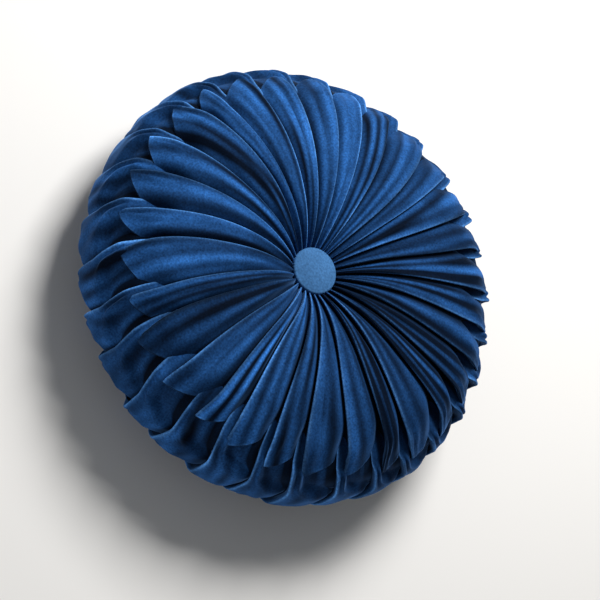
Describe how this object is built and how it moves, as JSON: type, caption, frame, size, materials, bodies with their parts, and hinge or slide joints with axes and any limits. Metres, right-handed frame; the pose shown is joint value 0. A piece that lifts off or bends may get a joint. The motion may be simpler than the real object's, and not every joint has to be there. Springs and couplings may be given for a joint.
{
  "type": "round seat cushion",
  "caption": "Round velvet seat cushion, pleated from a covered tufting button on each face to a smocked side, over a fibre-filled casing.",
  "frame": {"origin": "on the resting face under the middle of the cushion, on the axis of both buttons", "axes": "+Z along the axis of the buttons, from the back face it rests on to the front face; +X and +Y lie in the resting face, +X along the wires of the button eyes"},
  "size_m": [0.3879, 0.388, 0.1193],
  "materials": {
    "cover_velvet": "short-pile velvet, blue, with a sheen along the folds",
    "button_velvet": "short-pile velvet, stretched, a lighter blue",
    "blue_thread": "twisted sewing thread",
    "casing_cloth": "spun-bonded cloth",
    "white_thread": "twisted sewing thread",
    "fibre": "loose polyester fibre",
    "twine": "waxed twine",
    "button_metal": "pressed, dull",
    "eye_wire": "drawn wire"
  },
  "bodies": {
    "cushion": {"pleated_cover": "cover_velvet", "cover_closing_seam": "blue_thread", "front_gathering_thread": "blue_thread", "back_gathering_thread": "blue_thread", "front_smocking_stitches": "blue_thread", "back_smocking_stitches": "blue_thread", "casing_front_panel": "casing_cloth", "casing_gusset": "casing_cloth", "casing_back_panel": "casing_cloth", "casing_front_seam": "white_thread", "casing_back_seam": "white_thread", "casing_closing_stitches": "white_thread", "fibre_fill": "fibre"},
    "twine": {"tufting_twine": "twine"},
    "front_button": {"front_button_velvet": "button_velvet", "front_button_shell": "button_metal", "front_button_plate": "button_metal", "front_button_eye": "eye_wire"},
    "back_button": {"back_button_velvet": "button_velvet", "back_button_shell": "button_metal", "back_button_plate": "button_metal", "back_button_eye": "eye_wire"}
  },
  "joints": [
    {"name": "tuft_travel", "type": "slide", "parent": "cushion", "child": "twine", "axis": [0, 0, 1], "range_m": [-0.004, 0.004], "stiffness_N_per_m": 900},
    {"name": "front_button_turn", "type": "hinge", "parent": "twine", "child": "front_button", "pos_m": [0, 0, 0.0952], "axis": [0, 0, 1], "range_deg": [-30, 30], "stiffness_Nm_per_rad": 0.003},
    {"name": "back_button_turn", "type": "hinge", "parent": "twine", "child": "back_button", "pos_m": [0, 0, 0.0232], "axis": [0, 0, 1], "range_deg": [-30, 30], "stiffness_Nm_per_rad": 0.003}
  ]
}
